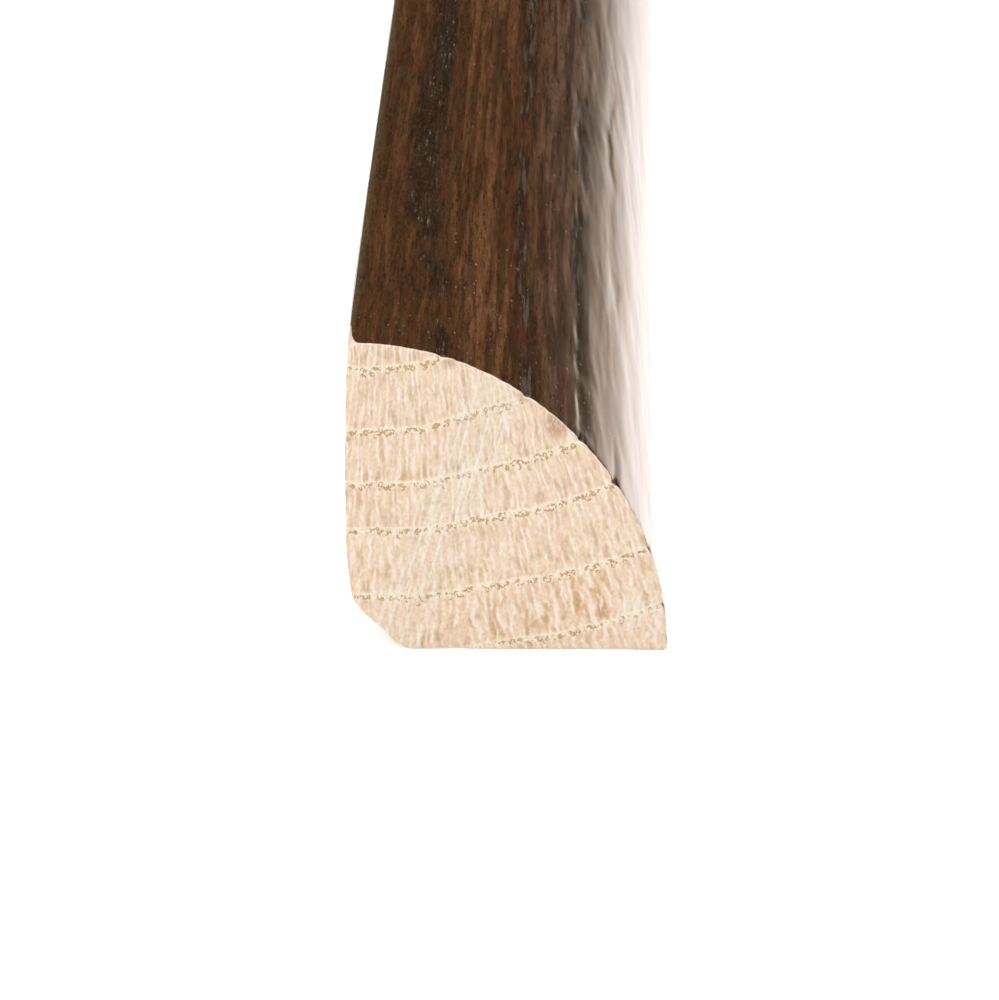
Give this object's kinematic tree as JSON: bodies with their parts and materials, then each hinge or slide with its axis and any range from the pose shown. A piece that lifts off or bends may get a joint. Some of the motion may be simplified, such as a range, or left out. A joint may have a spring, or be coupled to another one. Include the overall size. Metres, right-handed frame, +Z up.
{
  "type": "quarter round moulding",
  "caption": "Long straight solid oak trim with a quarter-disc section, a dark stained curved face, bare oak backs, a relieved back corner and square-sawn ends.",
  "frame": {"origin": "on the floor plane, midway along the length and midway across the width", "axes": "+Z up from the floor face, +X from the wall face out into the room, +Y along the length"},
  "size_m": [0.019, 1.9812, 0.019],
  "materials": {
    "stained_oak": "satin dark walnut stain on the curved face, bare oak on the backs and the sawn ends"
  },
  "bodies": {
    "root": {"quarter_round": "stained_oak"}
  },
  "joints": []
}
